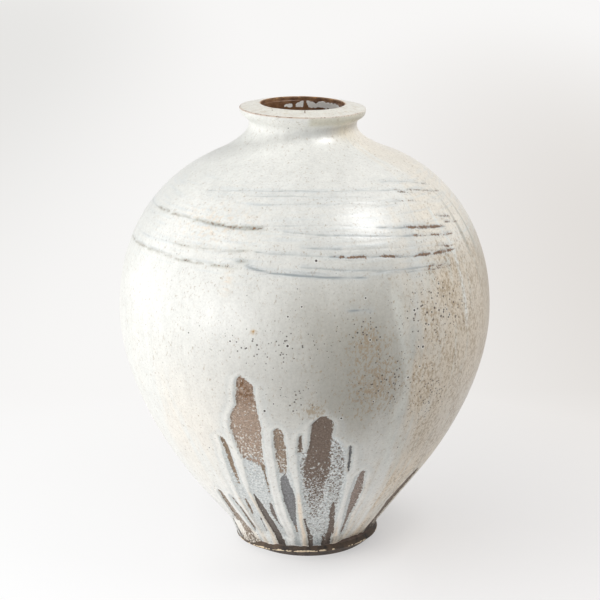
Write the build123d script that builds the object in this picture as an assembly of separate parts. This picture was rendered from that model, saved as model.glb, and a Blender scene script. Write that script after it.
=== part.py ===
from build123d import *
import os
from math import cos, hypot, radians, sin

# A luted stoneware jar, in millimetres. The axis is Z and the foot rests on Z = 0.
# The front, with the big bare fingers, faces -Y.

# Foot: a turned ring with a bevelled edge, resting on a flat land
FOOT_REST_RADIUS = 60.0
FOOT_LAND = 13.0
FOOT_BEVEL_WIDTH = 13.0
FOOT_BEVEL_HEIGHT = 10.0
FOOT_RING_HEIGHT = 13.5
FOOT_WELL_DRAFT = 5.0

# Lower bowl: from the waist over the foot out to the belly
WAIST_RADIUS = 68.5
WAIST_HEIGHT = 17.5
FLANK_ANGLE = 48.0
FLANK_PULL = 93.5
LOWER_BOWL_RISE = 229.5
BELLY_RADIUS = 184.5
BELLY_PULL_DOWN = 79.0

# Upper bowl: from the belly in to the seat of the neck collar
BELLY_PULL_UP = 71.0
UPPER_BOWL_RISE = 153.5
COLLAR_SEAT_RADIUS = 89.5
SHOULDER_ANGLE = 158.0
SHOULDER_PULL = 64.0

# Neck collar: a cove up to the narrow neck, then a flared lip with a sloping rim
COVE_PULL = 12.5
COVE_RISE = 29.5
NECK_RADIUS = 53.0
NECK_PULL_DOWN = 12.0
NECK_PULL_UP = 9.0
LIP_RADIUS = 62.0
LIP_RISE = 16.0
LIP_PULL = 11.0
RIM_RISE = 4.0
MOUTH_RADIUS = 41.5

# Walls, coats and joints
CLAY_WALL = 8.5
GLAZE_THICKNESS = 1.0
SLIP_THICKNESS = 0.8
LIP_GLAZE_THICKNESS = 0.6
LINER_THICKNESS = 0.8
LINER_DEPTH = 11.0
LUTING_THICKNESS = 1.0
BELLY_TONGUE = 4.0

# Bare fingers between the runs of glaze: turn from the front in degrees to the right,
# heights of the rounded top and of the lower end, widths near the top and near the lower end
FRONT_FINGERS = [
    (-19, 224, 118, 24, 18),
    (-28.5, 154, 82, 6, 5),
    (-8.5, 172, 117, 11, 9),
    (-7, 113, 44, 9, 6),
    (5, 185, 80, 21, 26),
    (23.5, 117, 58, 9, 5),
    (-47, 82, 10, 3, 3),
    (-39.5, 78, 10, 3, 4),
    (-22, 87, 10, 3, 6),
    (16.5, 73, 10, 3, 6),
    (65, 92, 40, 4, 4),
]
BACK_FINGERS = [
    (88, 148, 84, 9, 6),
    (104, 118, 58, 6, 5),
    (126, 196, 108, 20, 16),
    (141, 132, 66, 7, 5),
    (163, 168, 92, 12, 9),
    (184, 122, 60, 8, 5),
    (201, 206, 104, 18, 20),
    (219, 138, 74, 7, 6),
    (241, 160, 78, 13, 9),
    (262, 112, 52, 6, 4),
    (284, 142, 70, 8, 6),
]
CUTTER_MARGIN = 10.0

COAT = GLAZE_THICKNESS + SLIP_THICKNESS
WALL_DEPTH = COAT + CLAY_WALL
HALF_LUTING = LUTING_THICKNESS / 2
BELLY_HEIGHT = WAIST_HEIGHT + LOWER_BOWL_RISE
COLLAR_SEAT_HEIGHT = BELLY_HEIGHT + UPPER_BOWL_RISE
NECK_HEIGHT = COLLAR_SEAT_HEIGHT + COVE_RISE
LIP_HEIGHT = NECK_HEIGHT + LIP_RISE
RIM_HEIGHT = LIP_HEIGHT + RIM_RISE
FOOT_ARRIS_RADIUS = FOOT_REST_RADIUS + FOOT_BEVEL_WIDTH
FOOT_WELL_RADIUS = FOOT_REST_RADIUS - FOOT_LAND
FOOT_SEAT_RADIUS = FOOT_WELL_RADIUS - FOOT_WELL_DRAFT
FOOT_SEAT_HEIGHT = FOOT_RING_HEIGHT + LUTING_THICKNESS

# Ends of the section's runs nearer than this are one point
TOUCHING = 1e-6


def polar(length, angle):
    return Vector(length * cos(radians(angle)), length * sin(radians(angle)))


def leftward(leg):
    """Unit normal on the left of a leg: towards the axis for a profile drawn upwards."""
    return Vector(-leg.Y, leg.X) * (1 / hypot(leg.X, leg.Y))


def crossing(start, leg, other_start, other_leg):
    """Where two lines of the half section meet."""
    across = leg.X * other_leg.Y - leg.Y * other_leg.X
    between = other_start - start
    return start + leg * ((between.X * other_leg.Y - between.Y * other_leg.X) / across)


def inset(curve, depth):
    """Control points of the curve that runs inside the given one by the depth."""
    first, second, third, last = curve
    legs = [second - first, third - second, last - third]
    starts = [point + leftward(leg) * depth for point, leg in zip(curve, legs)]
    return [
        starts[0],
        crossing(starts[0], legs[0], starts[1], legs[1]),
        crossing(starts[1], legs[1], starts[2], legs[2]),
        last + leftward(legs[2]) * depth,
    ]


# The outer profile as cubic curves, on the surface of the glaze
UPWARD = polar(1, 90)
SHOULDER_DIRECTION = polar(1, SHOULDER_ANGLE)
waist = Vector(WAIST_RADIUS, WAIST_HEIGHT)
belly = Vector(BELLY_RADIUS, BELLY_HEIGHT)
collar_seat = Vector(COLLAR_SEAT_RADIUS, COLLAR_SEAT_HEIGHT)
neck = Vector(NECK_RADIUS, NECK_HEIGHT)
lip = Vector(LIP_RADIUS, LIP_HEIGHT)
belly_below = belly - UPWARD * HALF_LUTING
belly_above = belly + UPWARD * HALF_LUTING
seat_below = collar_seat - SHOULDER_DIRECTION * HALF_LUTING
seat_above = collar_seat + SHOULDER_DIRECTION * HALF_LUTING

FLANK = [waist, waist + polar(FLANK_PULL, FLANK_ANGLE), belly_below - UPWARD * BELLY_PULL_DOWN, belly_below]
SHOULDER = [
    belly_above,
    belly_above + UPWARD * BELLY_PULL_UP,
    seat_below - SHOULDER_DIRECTION * SHOULDER_PULL,
    seat_below,
]
COVE = [seat_above, seat_above + SHOULDER_DIRECTION * COVE_PULL, neck - UPWARD * NECK_PULL_DOWN, neck]
FLARE = [neck, neck + UPWARD * NECK_PULL_UP, lip - UPWARD * LIP_PULL, lip]

# The same curves one coat further in, on the clay, and one wall further in, inside the jar
CLAY_FLANK = inset(FLANK, COAT)
CLAY_SHOULDER = inset(SHOULDER, COAT)
CLAY_COVE = inset(COVE, COAT)
clay_lip = lip - Vector(LIP_GLAZE_THICKNESS, LIP_GLAZE_THICKNESS)
CLAY_FLARE = [CLAY_COVE[3], CLAY_COVE[3] + UPWARD * NECK_PULL_UP, clay_lip - UPWARD * LIP_PULL, clay_lip]
SLIP_SHOULDER = inset(SHOULDER, GLAZE_THICKNESS)
SLIP_COVE = inset(COVE, GLAZE_THICKNESS)
RIM_CREST = Vector(MOUTH_RADIUS, RIM_HEIGHT)
CLAY_CREST = RIM_CREST - UPWARD * LIP_GLAZE_THICKNESS


def inner_curves(depth):
    """Flank, shoulder and cove of the inside, the given depth in from the clay's inner face."""
    flank = inset(FLANK, WALL_DEPTH + depth)
    shoulder = inset(SHOULDER, WALL_DEPTH + depth)
    cove_start = seat_above + leftward(SHOULDER_DIRECTION) * (WALL_DEPTH + depth)
    bore = Vector(MOUTH_RADIUS - depth, NECK_HEIGHT)
    cove = [cove_start, cove_start + SHOULDER_DIRECTION * COVE_PULL, bore - UPWARD * NECK_PULL_DOWN, bore]
    return flank, shoulder, cove


INNER_FLANK, INNER_SHOULDER, INNER_COVE = inner_curves(0)
LINER_FLANK, LINER_SHOULDER, LINER_COVE = inner_curves(LINER_THICKNESS)


def turned(*outline):
    """Turn a closed half section about the axis. It goes through corner points and along curves."""
    edges = []
    here = outline[-1][-1] if isinstance(outline[-1], list) else outline[-1]
    for item in outline:
        curve = item if isinstance(item, list) else [item]
        if (curve[0] - here).length > TOUCHING:
            edges.append(Line(here, curve[0]))
        if len(curve) > 1:
            edges.append(Bezier(*curve))
        here = curve[-1]
    return revolve(Plane.XZ * make_face(edges), Axis.Z)


def backwards(curve):
    return curve[::-1]


def foot_slope(height):
    """Point at a height on the cone between the foot's sharp edge and the clay waist."""
    arris = Vector(FOOT_ARRIS_RADIUS, FOOT_BEVEL_HEIGHT)
    clay_waist = CLAY_FLANK[0]
    share = (height - arris.Y) / (clay_waist.Y - arris.Y)
    return arris + (clay_waist - arris) * share


def belly_rim(lift):
    """Rim of a bowl at the belly, from outside to inside, with the V of the joint in its middle."""
    outside = CLAY_FLANK[3] + UPWARD * lift
    inside = INNER_FLANK[3] + UPWARD * lift
    return [outside, (outside + inside) * 0.5 - UPWARD * BELLY_TONGUE, inside]


def foot_ring():
    return turned(
        Vector(FOOT_WELL_RADIUS, 0),
        Vector(FOOT_REST_RADIUS, 0),
        Vector(FOOT_ARRIS_RADIUS, FOOT_BEVEL_HEIGHT),
        foot_slope(FOOT_RING_HEIGHT),
        Vector(FOOT_SEAT_RADIUS, FOOT_RING_HEIGHT),
    )


def foot_luting():
    return turned(
        Vector(FOOT_SEAT_RADIUS, FOOT_RING_HEIGHT),
        foot_slope(FOOT_RING_HEIGHT),
        foot_slope(FOOT_SEAT_HEIGHT),
        Vector(FOOT_SEAT_RADIUS, FOOT_SEAT_HEIGHT),
    )


def lower_bowl():
    return turned(
        Vector(0, FOOT_SEAT_HEIGHT),
        foot_slope(FOOT_SEAT_HEIGHT),
        CLAY_FLANK,
        *belly_rim(0),
        backwards(INNER_FLANK),
        Vector(0, INNER_FLANK[0].Y),
    )


def belly_luting():
    return turned(*belly_rim(LUTING_THICKNESS), *backwards(belly_rim(0)))


def upper_bowl():
    return turned(CLAY_SHOULDER, backwards(INNER_SHOULDER), *backwards(belly_rim(LUTING_THICKNESS)))


def neck_luting():
    return turned(CLAY_SHOULDER[3], CLAY_COVE[0], INNER_COVE[0], INNER_SHOULDER[3])


def neck_collar():
    return turned(CLAY_COVE, CLAY_FLARE, CLAY_CREST, backwards(INNER_COVE))


def brushed_slip():
    return turned(SLIP_SHOULDER, SLIP_COVE, backwards(CLAY_COVE), backwards(CLAY_SHOULDER))


def finger_cutter(turn, top, end, top_width, end_width):
    """A tapered finger with round ends, pushed out from the axis through the coat."""
    ends = Sketch() + [
        Pos(0, top - top_width / 2) * Circle(top_width / 2),
        Pos(0, end + end_width / 2) * Circle(end_width / 2),
    ]
    outline = Plane.XZ * make_hull(ends.edges())
    return Rot(0, 0, turn) * extrude(outline, BELLY_RADIUS + CUTTER_MARGIN)


def outer_glaze():
    coat = turned(
        FLANK,
        SHOULDER,
        COVE,
        FLARE,
        RIM_CREST,
        CLAY_CREST,
        backwards(CLAY_FLARE),
        backwards(SLIP_COVE),
        backwards(SLIP_SHOULDER),
        CLAY_SHOULDER[0],
        backwards(CLAY_FLANK),
    )
    return coat - [finger_cutter(*finger) for finger in FRONT_FINGERS + BACK_FINGERS]


def liner_glaze():
    top = RIM_HEIGHT - LINER_DEPTH
    return turned(
        Vector(0, INNER_FLANK[0].Y),
        INNER_FLANK,
        INNER_SHOULDER,
        INNER_COVE,
        Vector(MOUTH_RADIUS, top),
        Vector(MOUTH_RADIUS - LINER_THICKNESS, top),
        backwards(LINER_COVE),
        backwards(LINER_SHOULDER),
        backwards(LINER_FLANK),
        Vector(0, LINER_FLANK[0].Y),
    )


PIECES = [
    foot_ring,
    foot_luting,
    lower_bowl,
    belly_luting,
    upper_bowl,
    neck_luting,
    neck_collar,
    brushed_slip,
    outer_glaze,
    liner_glaze,
]

os.makedirs("parts", exist_ok=True)
for piece in PIECES:
    export_step(piece(), f"parts/{piece.__name__}.step")
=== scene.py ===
import functools
import math
import random

import bmesh
import bpy
import numpy as np
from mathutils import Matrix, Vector, noise


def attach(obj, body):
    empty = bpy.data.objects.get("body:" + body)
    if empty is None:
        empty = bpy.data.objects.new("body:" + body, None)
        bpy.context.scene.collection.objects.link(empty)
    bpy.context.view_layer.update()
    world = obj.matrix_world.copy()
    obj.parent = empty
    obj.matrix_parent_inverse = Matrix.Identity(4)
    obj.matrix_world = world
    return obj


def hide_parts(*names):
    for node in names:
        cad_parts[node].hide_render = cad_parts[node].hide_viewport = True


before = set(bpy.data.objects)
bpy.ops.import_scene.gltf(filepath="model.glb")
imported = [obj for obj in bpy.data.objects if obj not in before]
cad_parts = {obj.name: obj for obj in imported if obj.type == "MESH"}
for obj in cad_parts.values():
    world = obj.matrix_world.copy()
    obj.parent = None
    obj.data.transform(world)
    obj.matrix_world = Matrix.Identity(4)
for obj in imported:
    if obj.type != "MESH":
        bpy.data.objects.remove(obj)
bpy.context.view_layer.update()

# A luted stoneware jar in a white glaze that ran. Shapes are worked out in millimetres, with heights
# above the floor and turns in degrees from the front (-Y), positive to the right (+X).
MM = 0.001
GLAZE_STEPS, CLAY_STEPS, FOOT_STEPS, MOUTH_STEPS = 600, 240, 408, 312
SECTORS = 24
WELD = 3e-6
SEED = 41


def heading(degrees):
    return np.array((math.cos(math.radians(degrees)), math.sin(math.radians(degrees))))


def swept(start, leaving, first_pull, end, arriving, last_pull):
    """A cubic curve by its ends, the direction at each end, and how many mm each direction pulls."""
    return start, start + first_pull * leaving, end - last_pull * arriving, end


# The outline as radius and height, the same as in the part's source
UP = heading(90)
FLANK_SLOPE, SHOULDER_SLOPE = heading(48), heading(158)
WAIST = np.array((68.5, 17.5))
BELLY = np.array((184.5, 247.0))
COLLAR_SEAT = np.array((89.5, 400.5))
NECK = np.array((53.0, 430.0))
LIP = np.array((62.0, 446.0))
CREST = np.array((41.5, 450.0))
ARRIS = np.array((73.0, 10.0))
CLAY_WAIST = np.array((67.16, 18.70))
FLANK = swept(WAIST, FLANK_SLOPE, 93.5, BELLY, UP, 79)
SHOULDER = swept(BELLY, UP, 71, COLLAR_SEAT, SHOULDER_SLOPE, 64)
COVE = swept(COLLAR_SEAT, SHOULDER_SLOPE, 12.5, NECK, UP, 12)
FLARE = swept(NECK, UP, 9, LIP, UP, 11)
FOOT_REST, FOOT_WELL, FOOT_SEAT = 60.0, 47.0, 42.0
FOOT_TOP, FOOT_JOINT, CONE_END, BASE_RING = 13.5, 14.5, 17.0, 30.0
COAT, SLIP_COVER, CLAY_WALL, LINER = 1.8, 1.0, 8.5, 0.8
BELLY_TONGUE, LUTING = 4.0, 1.0
LINER_TOP = 439.0


def along(curve, spacing):
    """Points on a cubic curve, evenly spaced."""
    t = np.linspace(0, 1, 1200)[:, None]
    a, b, c, d = curve
    fine = (1 - t) ** 3 * a + 3 * t * (1 - t) ** 2 * b + 3 * t ** 2 * (1 - t) * c + t ** 3 * d
    length = np.append(0, np.cumsum(np.hypot(*np.diff(fine, axis=0).T)))
    even = np.linspace(0, length[-1], max(2, round(length[-1] / spacing) + 1))
    return np.stack([np.interp(even, length, fine[:, k]) for k in (0, 1)], 1)


def outward(outline):
    """Unit normals of an outline that is drawn upwards, pointing away from the axis."""
    step = np.gradient(np.asarray(outline), axis=0)
    return np.stack([step[:, 1], -step[:, 0]], 1) / np.hypot(*step.T)[:, None]


def sunk(outline, depth):
    return outline - depth * outward(outline)


def eased(value, knots, levels):
    """Smooth steps from one level to the next at the knots."""
    knots, levels = np.asarray(knots, float), np.asarray(levels, float)
    index = np.clip(np.searchsorted(knots, value) - 1, 0, len(knots) - 2)
    share = np.clip((value - knots[index]) / (knots[index + 1] - knots[index]), 0, 1)
    share = share * share * (3 - 2 * share)
    return levels[index] + share * (levels[index + 1] - levels[index])


def smooth(value, low, high):
    share = np.clip((value - low) / (high - low), 0, 1)
    return share * share * (3 - 2 * share)


def bell(value, width):
    return np.exp(-((value / width) ** 2))


def drift(points, size, salt, stretch=1.0):
    """Smooth noise from -1 to 1 over points in mm, with patches of the given size, drawn out upwards."""
    scaled = points / (size, size, size * stretch) + (salt * 17.3, salt * -9.1, salt * 5.7)
    return np.fromiter((noise.noise(Vector(p)) for p in scaled), float, len(points)) * 1.6


def linear(code):
    """An sRGB hex colour as linear red, green, blue and 1."""
    parts = [int(code[k:k + 2], 16) / 255 for k in (0, 2, 4)]
    return (*[p / 12.92 if p <= 0.04045 else ((p + 0.055) / 1.055) ** 2.4 for p in parts], 1.0)


def washed(tone, *washes):
    """Colours with washes laid over them in turn, each a hex colour and its share from 0 to 1."""
    for code, share in washes:
        tone = tone + (np.array(linear(code)) - tone) * np.clip(share, 0, 1)[:, None]
    return tone


def read(table, value):
    """The second column of a table at a place along its first, straight between the rows."""
    return np.interp(value, *np.array(table, float).T)


def placed(radius, turn, height):
    """Points by their radius, turn in degrees and height."""
    angle = np.radians(turn)
    return np.stack(np.broadcast_arrays(radius * np.sin(angle), -radius * np.cos(angle), height), -1)


def hand_made(points):
    """The small leans, shifts and flats of a jar made by hand, the same for every piece of it."""
    x, y, z = points.T
    turn = np.arctan2(x, -y)
    lean = eased(z, (0, 20, 70, 340, 392, 424, 450), (3.2, 3.0, 0.2, 0.4, 0.6, -1.5, -1.8))
    tilt = eased(z, (0, 9, 14, 60, 330, 392, 425, 450), (0, 0.016, 0.016, 0, 0, 0.006, -0.012, -0.016))
    sag = eased(z, (0, 9, 14, 60), (0, 2.4, 2.4, 0)) * smooth(-x, 12, 75)
    body = smooth(z, 30, 120) * smooth(440 - z, 0, 100)
    flat = 2.0 * bell(np.degrees(turn) - 90, 40) * bell(z - 55, 40)
    out = 1 + 0.003 * np.sin(2 * turn - 2.2) * body - flat / np.maximum(np.hypot(x, y), 40)
    return np.stack([x * out + lean, y * out, z + x * tilt - sag], 1)


def turned(name, outline, steps, sharp=()):
    """A closed half section, rows of radius and height, spun about the axis. Each vertex keeps its row."""
    bm = bmesh.new()
    row = bm.verts.layers.int.new("row")
    verts = []
    for index, (radius, height) in enumerate(outline):
        vert = bm.verts.new((0, radius * MM, height * MM))
        vert[row] = index
        verts.append(vert)
    ends = list(zip(verts, verts[1:]))
    if outline[0][0] > 0:
        ends.append((verts[-1], verts[0]))
    edges = [bm.edges.new(pair) for pair in ends]
    # One sector is spun, and the rest are copies of it, which is quicker than one long spin
    sector = 2 * math.pi / SECTORS
    about = {"cent": (0, 0, 0), "axis": (0, 0, 1)}
    bmesh.ops.spin(bm, geom=verts + edges, angle=sector, steps=steps // SECTORS, use_merge=False, **about)
    whole = bm.verts[:] + bm.edges[:] + bm.faces[:]
    bmesh.ops.spin(bm, geom=whole, angle=2 * math.pi - sector, steps=SECTORS - 1, use_duplicate=True, **about)
    bmesh.ops.remove_doubles(bm, verts=bm.verts, dist=WELD)
    bmesh.ops.recalc_face_normals(bm, faces=bm.faces)
    sharp = set(sharp)
    for face in bm.faces:
        face.smooth = True
    for edge in bm.edges:
        a, b = (vert[row] for vert in edge.verts)
        edge.smooth = not (a == b and a in sharp)
    mesh = bpy.data.meshes.new(name)
    bm.to_mesh(mesh)
    bm.free()
    return mesh


def values_of(items, name, kind=np.int32, width=1):
    """One value of every item of a mesh, such as a vertex or a face, in one array."""
    values = np.empty(len(items) * width, kind)
    items.foreach_get(name, values)
    return values


class Surface:
    """A turned mesh's vertices in mm, with the turn and row of each, to be moved and painted."""

    def __init__(self, mesh, outline):
        self.mesh = mesh
        self.outline = np.asarray(outline, float)
        self.points = values_of(mesh.vertices, "co", float, 3).reshape(-1, 3) / MM
        self.row = values_of(mesh.attributes["row"].data, "value")
        self.turn = np.degrees(np.arctan2(self.points[:, 0], -self.points[:, 1]))
        self.radius, self.height = self.outline[self.row].T
        # The place on an upright cylinder as wide as the belly, so that streaks follow the jar's meridians
        self.skin = placed(BELLY[0], self.turn, self.height)

    def set(self, radius, height):
        self.points = placed(radius, self.turn, height)

    def paint(self, name, values):
        kind = "FLOAT_COLOR" if np.ndim(values) == 2 else "FLOAT"
        layer = self.mesh.attributes.new(name, kind, "POINT")
        layer.data.foreach_set("color" if kind == "FLOAT_COLOR" else "value", np.asarray(values, np.float32).ravel())

    def settle(self):
        self.points = hand_made(self.points)
        self.mesh.vertices.foreach_set("co", (self.points * MM).astype(np.float32).ravel())
        self.mesh.update()


# Keeps rows of a UV map apart where an outline's rows lie in one place
ROW_GAP = 0.05


def unroll(surface):
    """UV map for the bake: turn across, distance along the section up."""
    mesh, outline = surface.mesh, surface.outline
    length = np.append(0, np.cumsum(np.hypot(*np.diff(outline, axis=0).T) + ROW_GAP))
    corners, sides = values_of(mesh.loops, "vertex_index"), values_of(mesh.polygons, "loop_total")
    across = surface.turn[corners] / 360 + 0.5
    face = np.repeat(np.arange(len(sides)), sides)
    widest, last = np.zeros(len(sides)), np.zeros(len(sides))
    np.maximum.at(widest, face, across)
    across = np.where(widest[face] - across > 0.5, across + 1, across)
    step = 1.0 / (len(np.unique(np.round(surface.turn, 3))) + 1)
    row = surface.row[corners].astype(float)
    np.maximum.at(last, face, row)
    closing = (row == 0) & (last[face] > len(outline) / 2)
    total = length[-1] + np.hypot(*(outline[0] - outline[-1])) + ROW_GAP
    up = np.where(closing, total, length[surface.row[corners]])
    layer = mesh.uv_layers.new(name="OFBake")
    uv = np.stack([across / (1 + step), up / total], 1)
    layer.data.foreach_set("uv", uv.astype(np.float32).ravel())


def finished(surface, node_name, material):
    """Make the piece of a settled surface, riding with the jar in place of its CAD node."""
    unroll(surface)
    surface.mesh.materials.append(material)
    piece = bpy.data.objects.new(surface.mesh.name, surface.mesh)
    bpy.context.scene.collection.objects.link(piece)
    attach(piece, "root")
    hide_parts(node_name)


# Bare fingers and streaks at the front: rows of height, left turn and right turn from the top down, how solid
# the bare clay is at the top and at the end, the heights between which that changes, and its tone
FINGERS = [
    ([(224.5, -20, -18.5), (221, -20.6, -17.2), (215, -20.8, -15.4), (194, -21.5, -14.8), (182, -24, -14.3),
      (170, -24.8, -13.8), (141, -23.8, -14.6), (132, -22.9, -14.8), (123, -17.5, -15)],
     0.78, 0.56, (176, 124), "9F8B7B"),
    ([(126, -16.6, -14.9), (100, -16, -15), (88, -16.2, -15.4)], 0.85, 0.6, (110, 88), "85735F"),
    ([(155, -29.9, -28.8), (151, -29.7, -27.8), (137, -29.4, -27.3), (112, -29.8, -27.6), (95, -29.8, -28.3)],
     0.9, 0.5, (128, 94), "8C7966"),
    ([(77, -30.4, -29.2), (69, -31, -28.9), (54, -32.1, -30.1)], 0.85, 0.6, (70, 54), "7E6C5C"),
    ([(171.5, -9.6, -7.9), (168, -10.2, -7.1), (152, -10.4, -6.6), (136, -10.4, -6.2), (116, -10.3, -6.3)],
     0.76, 0.52, (150, 116), "92806F"),
    ([(116, -8.4, -7.6), (111, -9.5, -6.6), (102, -10, -5.8), (93, -9.9, -4.6), (80, -9.6, -4.1), (65, -8.6, -4.4),
      (45, -7.5, -5.4)], 1.1, 0.9, (70, 45), "7E7E7F"),
    ([(47, -7.4, -5.5), (16, -6.6, -5.6)], 0.72, 0.5, (40, 16), "7A5E48"),
    ([(166, -1.6, -1.1), (156, -2.2, -0.8), (143, -2.7, -0.4)], 0.9, 0.7, (156, 143), "75665A"),
    ([(185.5, 4.7, 6.9), (181, 3, 8.6), (175, 1.8, 9.2), (152, 1.4, 8.9), (142, 0.6, 9.1), (120, -0.6, 9.3),
      (103, 0.2, 8.4), (84, 1.7, 8), (60, 2.5, 7.5)], 0.88, 0.42, (150, 66), "6F6055"),
    ([(160, 8, 10), (149, 3, 12.9), (142, -2.1, 14), (126, -2, 15.1), (102, -1.1, 16.3), (83, -0.7, 17),
      (64, -0.1, 16.6), (34, 2, 16.5), (15, 3.8, 15.5)], 0.42, 0.24, (120, 30), "776A5F"),
    ([(150, 15.2, 16.2), (135, 15.6, 16.9), (118, 16.4, 17.5)], 1.1, 0.9, (130, 118), "6F7274"),
    ([(117, 22.5, 24), (106, 21.7, 24.9), (89, 21.4, 26.5), (70, 22.6, 26.5), (55, 23.5, 25.7), (32, 24.4, 26.4),
      (19, 27.2, 28.5)], 0.82, 0.78, (100, 40), "92837A"),
    ([(77, 13, 14.7), (60, 13.3, 16.6), (43, 14.2, 18), (33, 13.8, 19.2), (8, 10.5, 19)],
     0.8, 0.95, (70, 30), "74675E"),
    ([(56, -0.8, 0.1), (46, -0.7, 0.8), (24, 0.6, 3.5), (8, 1.5, 5.5)], 0.85, 1, (50, 20), "6E625A"),
    ([(76, -17.6, -15.9), (63, -18.4, -15.5), (49, -17.6, -16), (40, -16.6, -15.2)], 0.95, 0.7, (56, 40), "7A706A"),
    ([(86, -24.1, -23.2), (71, -24.4, -21.1), (42, -24.3, -19.2), (23, -24.5, -18.5), (8, -24.5, -16.5)],
     0.9, 1.1, (70, 40), "69615B"),
    ([(53, -27.5, -26.2), (33, -30.1, -28.4), (20, -32.3, -30.3)], 0.72, 0.6, (40, 20), "85786C"),
    ([(75, -38.6, -37.4), (58, -38.6, -36.4), (39, -40, -37.1), (23, -42.3, -40.1)], 0.84, 0.72, (50, 23), "8A7B6E"),
    ([(80, -46.2, -43.8), (68, -47.6, -43.8), (48, -51.5, -45), (34, -57, -46), (17, -60, -47)],
     0.76, 0.72, (60, 20), "968778"),
    ([(40, -64, -46), (26, -68, -43), (12, -72, -40)], 0.4, 0.52, (34, 14), "A3907C"),
    ([(97, 58, 62), (86, 55, 63), (61, 52, 62), (40, 53, 62), (28, 54, 66), (8, 57, 88)],
     0.9, 1, (60, 30), "75665A"),
]

# Thin, bluish glaze that ran off the fingers: rows as above, and how far it covers
THIN_GLAZE = [
    ([(136, -23, -14.6), (117, -23.2, -14.6), (88, -24.6, -15), (62, -21.8, -15.4), (47, -19.6, -15.3),
      (16, -18, -14.6)], 0.95),
    ([(139, -30.2, -28), (129, -30.4, -26.9), (95, -31.5, -27.3), (58, -33.2, -26.2), (18, -35.9, -28.6)], 0.75),
    ([(124, -10.8, -5.8), (93, -10.5, -4.2), (64, -9.3, -3.8), (43, -8.3, -4.2), (15, -8.5, -4.4)], 0.8),
    ([(162, 7.6, 10.6), (149, 2.6, 13.6), (142, -2.4, 14.6), (126, -2.3, 15.6), (83, -1.2, 17.4), (34, 1.4, 17.4),
      (14, 2.8, 17)], 1),
    ([(113, 20.9, 23), (98, 20.3, 24), (80, 20.6, 25), (55, 22, 26.2), (26, 25, 28.6)], 0.75),
    ([(79, -39.4, -36.8), (39, -41, -36.4), (17, -44, -39.5)], 0.5),
]

# Peach edges where the runs thin out: rows as above, and how strong the tint is
PEACH_EDGES = [
    ([(95, -26.9, -24.2), (66, -25.6, -23.6), (40, -26.2, -23.4), (14, -28.6, -23.6)], 0.95),
    ([(88, -34, -31.6), (50, -34.4, -31.6), (14, -38.5, -33)], 0.7),
    ([(100, -4.4, -2.2), (70, -3.8, -1.4), (40, -4, -1), (14, -4.6, 1.2)], 0.95),
    ([(142, 14.2, 15.6), (118, 15.6, 17.2)], 0.8),
    ([(55, 17, 19), (36, 18.4, 21), (14, 19.6, 26)], 0.95),
    ([(26, 30, 58), (12, 30, 58)], 0.5),
    ([(34, -75, -46), (12, -75, -42)], 0.7),
]

# Fingers on the sides that the photo doesn't show: turn, top, end, top width, end width
BACK_FINGERS = [
    (104, 118, 58, 6, 5), (126, 196, 108, 20, 16), (141, 132, 66, 7, 5), (163, 168, 92, 12, 9), (184, 122, 60, 8, 5),
    (201, 206, 104, 18, 20), (219, 138, 74, 7, 6), (241, 160, 78, 13, 9), (262, 112, 52, 6, 4), (284, 142, 70, 8, 6),
    (96, 60, 9, 4, 6), (115, 78, 10, 3, 6), (134, 56, 9, 3, 7), (152, 84, 12, 5, 4), (174, 66, 9, 3, 7),
    (193, 88, 10, 5, 8), (211, 60, 9, 3, 5), (230, 80, 10, 4, 7), (252, 56, 9, 3, 5), (273, 72, 9, 4, 7),
    (294, 54, 9, 3, 5),
]

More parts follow.
